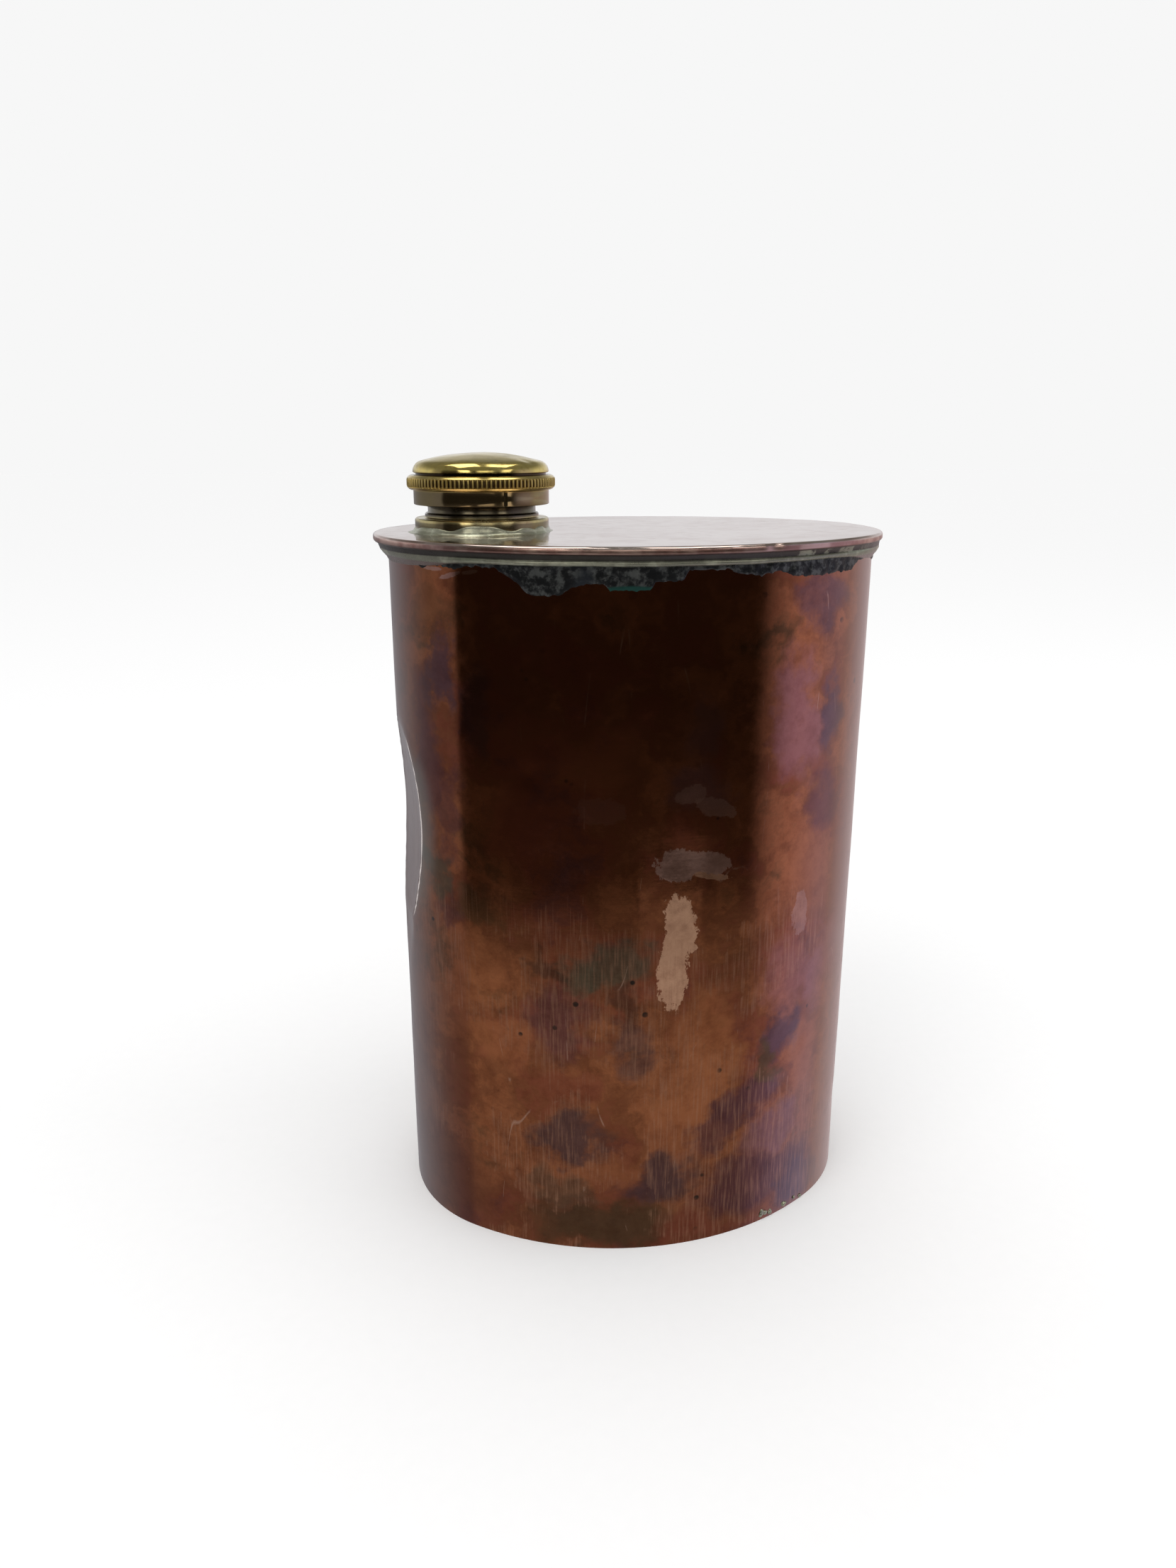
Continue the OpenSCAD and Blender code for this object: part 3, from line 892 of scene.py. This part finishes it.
# The first seven rows are painted light: a painted highlight in peach on the front, and painted grey
# reflections above it. The rest are grey marks.
patches = [
    (2.2, 71, 3.4, 9.5, 0, highlight_peach, 1), (3.9, 82, 3.3, 7, 14, highlight_peach, 1),
    (9.5, 92.7, 5.2, 0.9, -14, highlight_peach, 0.85), (3.2, 95.6, 5.2, 3.6, 0, grey_reflection_and_mark, 0.9),
    (10, 95.4, 5, 2.4, -14, grey_reflection_and_mark, 0.9), (5.4, 111, 3.6, 2.0, 10, grey_reflection_and_mark, 0.45),
    (11, 107.8, 4.4, 2.0, -20, grey_reflection_and_mark, 0.45), (-14, 108, 5, 3, 0, grey_reflection_and_mark, 0.12), (35, 79, 2.5, 5, 0, grey_reflection_and_mark, 0.35),
    (-46, 155.3, 3, 0.5, 20, grey_reflection_and_mark, 0.6), (-50.5, 156.4, 2.6, 0.4, 0, grey_reflection_and_mark, 0.6),
    (-41, 156.2, 2, 0.4, 12, grey_reflection_and_mark, 0.5),
]
ragged = grain(place, 560, stretch=(1, 1, 1.5), detail=6, rough=0.72)
ragged = times(less(ragged, 0.5), 1.6)
for along, height, wide, tall, lean, tint, strength in patches:
    reach = from_middle(place, on_wall(along, height), (wide * mm, wide * mm, tall * mm), lean)
    reach = plus(reach, ragged)
    colour = lay(mask(reach, 1.04, 0.98, strength), colour, tint)
height = split(warped)["Z"]
# Darker and a little bluer over the lowest 50 mm of the wall.
colour = lay(mask(height, 50 * mm, 0, 0.6), colour, (0.6, 0.56, 0.66), "MULTIPLY")
print(len(patches), "patches")

# %% Brushing, specks and relief of the copper
mottle = grain(place, 260, detail=6, rough=0.7)
brushing = grain(place, 2100, stretch=(1, 1, 16), detail=3)
brushed_area = mask(grain(warped, 30), 0.36, 0.52)
low_down = mask(height, 112 * mm, 75 * mm, 0.85)
brushed_area = times(brushed_area, plus(0.15, low_down))
brushing = times(brushing, brushed_area)
cloth = grain(place, 1500, stretch=(16, 16, 1), turn=(0, 8, 0), detail=2)
colour = lay(mask(mottle, 0.35, 0.75, 0.55), colour, (0.62, 0.52, 0.5), "MULTIPLY")
colour = lay(mask(brushing, 0.42, 0.75, 0.36), colour, (0.62, 0.33, 0.21))
scratch = grain(place, 75, stretch=(1, 1, 7), turn=(0, 24, 0), detail=1)
scratch = math_node("ABSOLUTE", less(scratch, 0.5), 0)
scratch = mask(scratch, 0.0028, 0.0, 0.5)
broken = mask(grain(place, 140), 0.55, 0.65)
scratch = times(scratch, broken)
colour = lay(scratch, colour, (0.66, 0.42, 0.32))
specks = add_node("TexVoronoi", {"Vector": place, "Scale": 210, "Randomness": 1}).outputs["Distance"]
speckled = mask(grain(place, 60), 0.56, 0.66)
specks = times(mask(specks, 0.17, 0.1), speckled)
colour = lay(specks, colour, soot)

# %% Painted grey sheen, and the crease of the dent
# A grey sheen is painted where the wall turns away from the eye, standing in for the reflection there. The
# crease is found by the dent's own formula.
grazing_sheen = add_node("LayerWeight", {"Blend": 0.5}).outputs["Facing"]
colour = lay(mask(grazing_sheen, 0.3, 0.78, 0.7), colour, (0.44, 0.37, 0.36))
spot = split(place)
tall = math_node("DIVIDE", spot["Z"], mm)
bulge = math_node("DIVIDE", less(tall, dent_z), dent_half)
main = less(1, math_node("POWER", bulge, 2))
main = math_node("MAXIMUM", times(main, dent_deep), 0)
tail = math_node("DIVIDE", less(tall, tail_z), tail_half)
tail = times(math_node("POWER", tail, 2), -1)
tail = times(math_node("POWER", math.e, tail), tail_deep)
deep = plus(main, tail)
edge = less(1, math_node("DIVIDE", deep, end_r / mm))
edge = math_node("ARCCOSINE", edge, 0)
turn = math_node("ARCTAN2", spot["Y"], plus(spot["X"], end_x))
turn = plus(turn, 2 * math.pi - dent_way)
past_crease = less(turn, edge)
gap = math_node("ABSOLUTE", times(past_crease, end_r / mm), 0)
# The crease is given a painted highlight, nearly white, and a grey strip is laid just inside it on the dented
# side.
crease_highlight = times(mask(gap, 0.42, 0.12, 0.85), mask(deep, 0.5, 1.1))
beside = times(mask(past_crease, 0, 0.02), mask(past_crease, 0.2, 0))
beside = times(beside, mask(deep, 0.5, 2, 0.6))
colour = lay(beside, colour, (0.44, 0.45, 0.41))
# Painted highlight along the crease; it also lowers the metallic value there.
colour = lay(crease_highlight, colour, (1.0, 0.92, 0.88))
metallic = less(1, times(crease_highlight, 0.6))
feed("Metallic", metallic)
feed("Base Color", colour)
roughness = plus(mask(mottle, 0.35, 0.8, 0.14), mask(brushing, 0.4, 0.8, 0.12))
roughness = plus(roughness, 0.075)
feed("Roughness", roughness)
bump((brushing, 0.000002), (cloth, 0.0000015), (mottle, 0.000006),
     (grain(place, 90), 0.00003))
print("copper graph has", len(tree.nodes), "nodes")

# %% [markdown]
# **The top's copper** has been wiped more often than the wall, so it is paler and mirror-like, with brown
# stains where drips have dried and wear that brightens the fold.

# %% Copper of the top
lid_copper = new_finish("wiped_copper", 0.1)
cloud = grain(place, 42, detail=5, rough=0.62, warp=0.6)
fine = grain(place, 330, detail=4)
colour = lay(mask(cloud, 0.42, 0.66), (0.60, 0.50, 0.47), (0.48, 0.36, 0.33))
colour = lay(mask(grain(place, 60, stretch=(2.4, 1, 1), warp=0.4), 0.6, 0.7, 0.6),
             colour, (0.33, 0.19, 0.155))
height = split(place)["Z"]
edge_wear = mask(grain(place, 180), 0.4, 0.62)
lip_side = mask(height, top_z - 0.35 * mm, top_z - 0.7 * mm)
shade_and_tarnish_under_lip = mask(height, top_z - 1.25 * mm, top_z - 1.6 * mm, 0.85)
colour = lay(lip_side, colour, lay(edge_wear, (0.38, 0.22, 0.19), (0.58, 0.40, 0.34)))
# The band under the fold is painted near black: painted shade, with some dark tarnish in it.
colour = lay(shade_and_tarnish_under_lip, colour, (0.035, 0.028, 0.025))
feed("Base Color", colour)
spread = times(lip_side, 0.22)
spread = plus(mask(fine, 0.35, 0.75, 0.1), spread)
feed("Roughness", plus(spread, 0.06))
bump((fine, 0.000003), (grain(place, 120), 0.00001))
print("top copper graph has", len(tree.nodes), "nodes")

# %% [markdown]
# ** Solder.** Fresh solder is silvery, but this has oxidised: pale and a little green on the roll where it
# gets rubbed, and nearly black with grey lumps in the smears. On the rim the corner above the roll is
# painted near black, as painted shade with some dark tarnish, and a painted shadow lies under the roll.
# Three finishes share one recipe, with a dark, a pale and a stain colour.

# %% Solder finishes
def solder_finish(name, dark, pale, stain, roughness, lumps, relief):
    """Old soft solder: mottled between dark and pale, with a stain over part of it."""
    finish = new_finish(name, roughness)
    coarse = grain(place, lumps, detail=5, rough=0.65)
    fine = grain(place, 1900, detail=3)
    colour = lay(mask(coarse, 0.45, 0.63), dark, pale)
    colour = lay(mask(grain(place, 110), 0.5, 0.66, 0.8), colour, stain)
    colour = lay(mask(fine, 0.4, 0.7, 0.15), colour, (0.5, 0.5, 0.5), "MULTIPLY")
    shader.inputs["Metallic"].default_value = 0.75
    spread = plus(mask(coarse, 0.3, 0.7, 0.1), roughness - 0.05)
    feed("Roughness", spread)
    bump((coarse, relief), (fine, relief / 16))
    return finish, colour


bare_solder, colour = solder_finish(
    "dull_solder", (0.30, 0.30, 0.225), (0.46, 0.47, 0.36), (0.28, 0.30, 0.2), 0.24, 160, 0.00002)
feed("Base Color", colour)

rim_solder, colour = solder_finish(
    "rim_solder_metal", (0.20, 0.20, 0.155), (0.36, 0.365, 0.28), (0.24, 0.26, 0.19), 0.3, 160, 0.00003)
height = split(place)["Z"]
# The corner above the roll is painted near black: painted shade with some dark tarnish, broken by grey
# patches at the right of the front.
corner_shade_and_tarnish = mask(height, 158.95 * mm, 159.25 * mm, 0.93)
near_patch = from_middle(place, on_wall(37, 159.8), (14 * mm, 14 * mm, 6 * mm))
broken = mask(grain(place, 330, stretch=(1, 1, 2)), 0.47, 0.53)
near_patch = times(mask(near_patch, 1.1, 0.6), broken)
corner_shade_and_tarnish = times(corner_shade_and_tarnish, less(1, near_patch))
colour = lay(corner_shade_and_tarnish, colour, (0.03, 0.025, 0.024))
# A painted shadow darkens the foot of the run, under the roll.
colour = lay(mask(height, 158.05 * mm, 157.7 * mm, 0.9), colour, (0.17, 0.125, 0.115))
feed("Base Color", colour)

smear_solder, colour = solder_finish(
    "burnt_solder", (0.012, 0.013, 0.014), (0.085, 0.09, 0.088), (0.02, 0.024, 0.03), 0.4, 520, 0.00012)
teal = from_middle(place, on_wall(-8, 153.1), (7 * mm, 7 * mm, 1.3 * mm))
colour = lay(mask(teal, 1.1, 0.7), colour, (0.012, 0.055, 0.045))
feed("Base Color", colour)
print("solder finishes:", bare_solder.name, rim_solder.name, smear_solder.name)

# %% [markdown]
# ** Brass.** The crown and the grip ring are kept bright by hands. The skirt and the neck, which fingers
# miss, have gone a dull olive grey, and the notches of the milling and the groove under the crown are
# darker. The neck's tube, whose waist shows under the skirt, is painted near black, as painted shade.
# One graph does both: a mask by height and by noise chooses between bright and dull metal.

# %% Brass finishes
def brass_finish(name, bright, dull, dull_share, roughness):
    """Turned brass, between bright and dull, with fine lines round it from the lathe."""
    finish = new_finish(name, roughness)
    cloud = grain(place, 150, detail=5, rough=0.65)
    lines = grain(place, 2600, stretch=(16, 16, 1), detail=2)
    fine = grain(place, 900, detail=3)
    amount = plus(mask(cloud, 0.4, 0.65, 0.5), dull_share)
    colour = lay(amount, bright, dull)
    colour = lay(mask(fine, 0.5, 0.75, 0.5), colour, (0.6, 0.5, 0.4), "MULTIPLY")
    spread = plus(mask(cloud, 0.35, 0.7, 0.16), roughness)
    feed("Roughness", spread)
    bump((lines, 0.000002), (fine, 0.000004))
    return finish, colour


crown_brass, colour = brass_finish(
    "bright_brass", (0.66, 0.52, 0.17), (0.46, 0.40, 0.17), 0.0, 0.08)
feed("Base Color", colour)

collar_brass, colour = brass_finish(
    "handled_brass", (0.68, 0.52, 0.18), (0.42, 0.34, 0.14), 0.0, 0.1)
height = split(place)["Z"]
skirt = mask(height, top_z + 9.3 * mm, top_z + 8.6 * mm, 0.85)
colour = lay(skirt, colour, (0.25, 0.21, 0.13))
groove = mask(height, top_z + 12.05 * mm, top_z + 12.25 * mm, 0.95)
colour = lay(groove, colour, (0.03, 0.02, 0.018))
from_axis = add_node("VectorMath", {0: place, 1: (neck_x, 0, 0)}, operation="SUBTRACT").outputs[0]
from_axis = add_node("VectorMath", {0: from_axis, 1: (1, 1, 0)}, operation="MULTIPLY").outputs[0]
from_axis = add_node("VectorMath", {0: from_axis}, operation="LENGTH").outputs["Value"]
in_notch = mask(from_axis, 16.16 * mm, 16.0 * mm)
for low, high in ((9.8, 9.95), (11.4, 11.25)):
    in_notch = times(in_notch, mask(height, top_z + low * mm, top_z + high * mm))
colour = lay(in_notch, colour, (0.10, 0.065, 0.03))
milled = times(mask(height, top_z + 9.3 * mm, top_z + 9.9 * mm, 0.3),
                   mask(height, top_z + 11.9 * mm, top_z + 11.3 * mm))
feed("Roughness", plus(0.12, milled))
feed("Base Color", colour)

neck_brass, colour = brass_finish(
    "dull_brass", (0.52, 0.43, 0.20), (0.30, 0.27, 0.17), 0.1, 0.13)
height = split(place)["Z"]
shade_on_tube = mask(height, top_z + 3.2 * mm, top_z + 3.8 * mm, 0.85)
at_foot = mask(height, top_z + 2.5 * mm, top_z + 2.2 * mm, 0.7)
# The tube above the collar, whose waist shows under the cap's skirt, is painted near black: painted shade.
colour = lay(shade_on_tube, colour, (0.055, 0.05, 0.048))
colour = lay(at_foot, colour, (0.11, 0.09, 0.055))
feed("Base Color", colour)
print("brass finishes:", crown_brass.name, collar_brass.name, neck_brass.name)

# %% [markdown]
# ** Leather.** The washer is a ring of oiled sole leather: dark brown, dull, with a pebbled grain.

# %% Leather finish
leather = new_finish("oiled_leather", 0.6)
shader.inputs["Metallic"].default_value = 0
pebble = add_node("TexVoronoi", {"Vector": place, "Scale": 1500}).outputs["Distance"]
stain = grain(place, 260, detail=4)
colour = lay(mask(stain, 0.35, 0.65), (0.055, 0.028, 0.014), (0.13, 0.07, 0.035))
colour = lay(mask(pebble, 0.25, 0.6, 0.6), colour, (0.035, 0.018, 0.01))
feed("Base Color", colour)
spread = plus(mask(stain, 0.3, 0.7, 0.25), 0.45)
feed("Roughness", spread)
bump((pebble, 0.00012))
print("leather graph has", len(tree.nodes), "nodes")

# %% [markdown]
# **Putting it together.** Each piece takes its finish, rides on the CAD body that it belongs to, stands in
# for its CAD node, and names the slot in the record that its finish comes from.

# %% Finish, body, node and slot of every piece
jobs = [
    (wrapper, copper, "can", "body_copper", ["body_wall"]),
    (lid, lid_copper, "can", "top_copper", ["top_plate"]),
    (rim_run, rim_solder, "can", "solder", ["rim_solder"]),
    (smear, smear_solder, "can", "solder", []),
    (seam_run, bare_solder, "can", "solder", ["seam_solder"]),
    (tray, copper, "can", "body_copper", ["bottom_plate"]),
    (base_run, bare_solder, "can", "solder", ["base_solder"]),
    (beads, bare_solder, "can", "solder", []),
    (neck, neck_brass, "can", "neck_brass", ["filler_neck"]),
    (neck_thread, neck_brass, "can", "neck_brass", []),
    (neck_run, bare_solder, "can", "solder", ["neck_solder"]),
    (collar, collar_brass, "cap", "cap_brass", ["cap_collar"]),
    (cap_thread, collar_brass, "cap", "cap_brass", []),
    (crown, crown_brass, "cap", "cap_brass", ["cap_dome"]),
    (washer, leather, "seal", "leather", ["cap_washer"]),
]
for piece, finish, body, slot, nodes in jobs:
    piece.data.materials.clear()
    piece.data.materials.append(finish)
    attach(piece, body)
    if nodes:
        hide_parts(*nodes)
print(len(jobs), "pieces ride on", sorted({job[2] for job in jobs}))

# %% [markdown]
# **The studio.** The can stands on a pale floor under soft light. Polished metal shows what is round it more
# than it shows the lamps, so the world does that work. It is pale for the eye and for the floor. For
# reflections it is a dark, warm room, with a lilac wall at the right, a dimmer one at the left, a window
# behind, a lit table below, three lamps and a low gleam ahead, and two lamps overhead.

# %% Floor
bpy.ops.object.select_all(action="DESELECT")
bpy.ops.mesh.primitive_plane_add(size=12, location=(0, 0, 0))
floor = bpy.context.object
floor.name = floor.data.name = "pale_floor"
paper = new_finish("pale_paper", 0.9)
shader.inputs["Metallic"].default_value = 0
shader.inputs["Specular IOR Level"].default_value = 0
colour = lay(grain(place, 300), (0.86, 0.86, 0.86), (0.88, 0.88, 0.88))
feed("Base Color", colour)
floor.data.materials.append(paper)
floor.visible_glossy = False
print("floor is", round(floor.dimensions.x, 1), "m wide")

# %% Room that the metal reflects
world = bpy.data.worlds.new("studio")
bpy.context.scene.world = world
world.use_nodes = True
tree = world.node_tree
backdrop = tree.nodes["Background"]
way = add_node("TexCoord").outputs["Generated"]
flat_way = add_node("VectorMath", {0: way, 1: (1, 1, 0)}, operation="MULTIPLY").outputs[0]
flat_way = add_node("VectorMath", {0: flat_way}, operation="NORMALIZE").outputs[0]
sideways, upward = split(flat_way), split(way)["Z"]
right_wall = mask(sideways["X"], 0.74, 0.97)
left_wall = mask(sideways["X"], -0.945, -0.975)
behind = mask(sideways["Y"], -0.1, 0.2)
window = times(behind, mask(upward, -0.06, 0.1))
table = mask(upward, -0.355, -0.5)
above = mask(upward, 0.12, 0.6)


def lamp_mask(centre, half):
    """1 where the way looks into a flat rectangle about centre, on the two axes whose half size is small."""
    spot = add_node("Mapping", {"Vector": way, "Location": centre, "Scale": half}, vector_type="TEXTURE")
    spot = add_node("VectorMath", {0: spot.outputs[0]}, operation="ABSOLUTE").outputs[0]
    parts = split(spot)
    widest = math_node("MAXIMUM", parts["X"], parts["Y"])
    return mask(math_node("MAXIMUM", widest, parts["Z"]), 1.04, 0.96)


room = lay(mask(upward, -0.2, -0.36), (0.03, 0.024, 0.019), (0.065, 0.052, 0.045))
room = lay(table, room, (0.42, 0.40, 0.39))
room = lay(left_wall, room, (0.29, 0.275, 0.31))
room = lay(right_wall, room, (0.62, 0.57, 0.73))
far_side = lay(mask(sideways["X"], 0, 0.35), (0.30, 0.29, 0.305), (0.60, 0.50, 0.50))
room = lay(behind, room, far_side)
room = lay(window, room, (0.82, 0.82, 0.83))
room = lay(above, room, (0.22, 0.22, 0.2))
for centre, half, glow in (
    ((0.24, -0.88, -0.41), (0.2, 0.2, 0.04), (0.30, 0.28, 0.27)),
    ((-0.5, -0.82, 0.31), (0.13, 0.3, 0.16), (2.4, 2.3, 2.1)),
    ((0.06, -0.95, 0.29), (0.22, 0.3, 0.13), (1.3, 1.25, 1.15)),
    ((0.62, -0.75, 0.33), (0.1, 0.3, 0.18), (1.9, 1.8, 1.7)),
    ((-0.28, -0.1, 0.95), (0.24, 0.3, 0.25), (3.2, 3.1, 2.9)),
    ((0.32, -0.1, 0.93), (0.2, 0.28, 0.25), (3.2, 3.1, 2.9)),
):
    room = lay(lamp_mask(centre, half), room, glow)
seen_in_metal = add_node("LightPath").outputs["Is Glossy Ray"]
seen_by_eye = add_node("LightPath").outputs["Is Camera Ray"]
pale = lay(seen_by_eye, (1.07, 1.07, 1.07), (0.93, 0.93, 0.93))
tree.links.new(lay(seen_in_metal, pale, room), backdrop.inputs["Color"])
print("room graph has", len(tree.nodes), "nodes")


# %% Soft lamps
def soft_lamp(name, place, size, power):
    """A square lamp that faces the can, and that the metal doesn't mirror."""
    light = bpy.data.lights.new(name, "AREA")
    light.size, light.energy = size, power
    lamp_object = bpy.data.objects.new(name, light)
    bpy.context.scene.collection.objects.link(lamp_object)
    lamp_object.location = place
    lamp_object.rotation_euler = (Vector((0, 0, 0.08)) - Vector(place)).to_track_quat("-Z", "Y").to_euler()
    lamp_object.visible_glossy = False
    return lamp_object


soft_lamp("key_lamp", (-0.5, -0.5, 0.9), 0.6, 2.0)
soft_lamp("fill_lamp", (0.7, -0.2, 0.8), 0.6, 1.2)

# %% Camera
camera = bpy.data.objects.new("camera", bpy.data.cameras.new("camera"))
bpy.context.scene.collection.objects.link(camera)
camera.location = Vector((-50.3, -259.8, 182.3)) * mm
camera.rotation_euler = Vector((0.146, 0.945, -0.293)).to_track_quat("-Z", "Y").to_euler()
camera.data.lens, camera.data.sensor_width = 26.1, 36
camera.data.clip_start = 0.01
bpy.context.scene.camera = camera
bpy.context.scene.view_settings.view_transform = "Standard"
print("camera at", [round(v, 3) for v in camera.location])
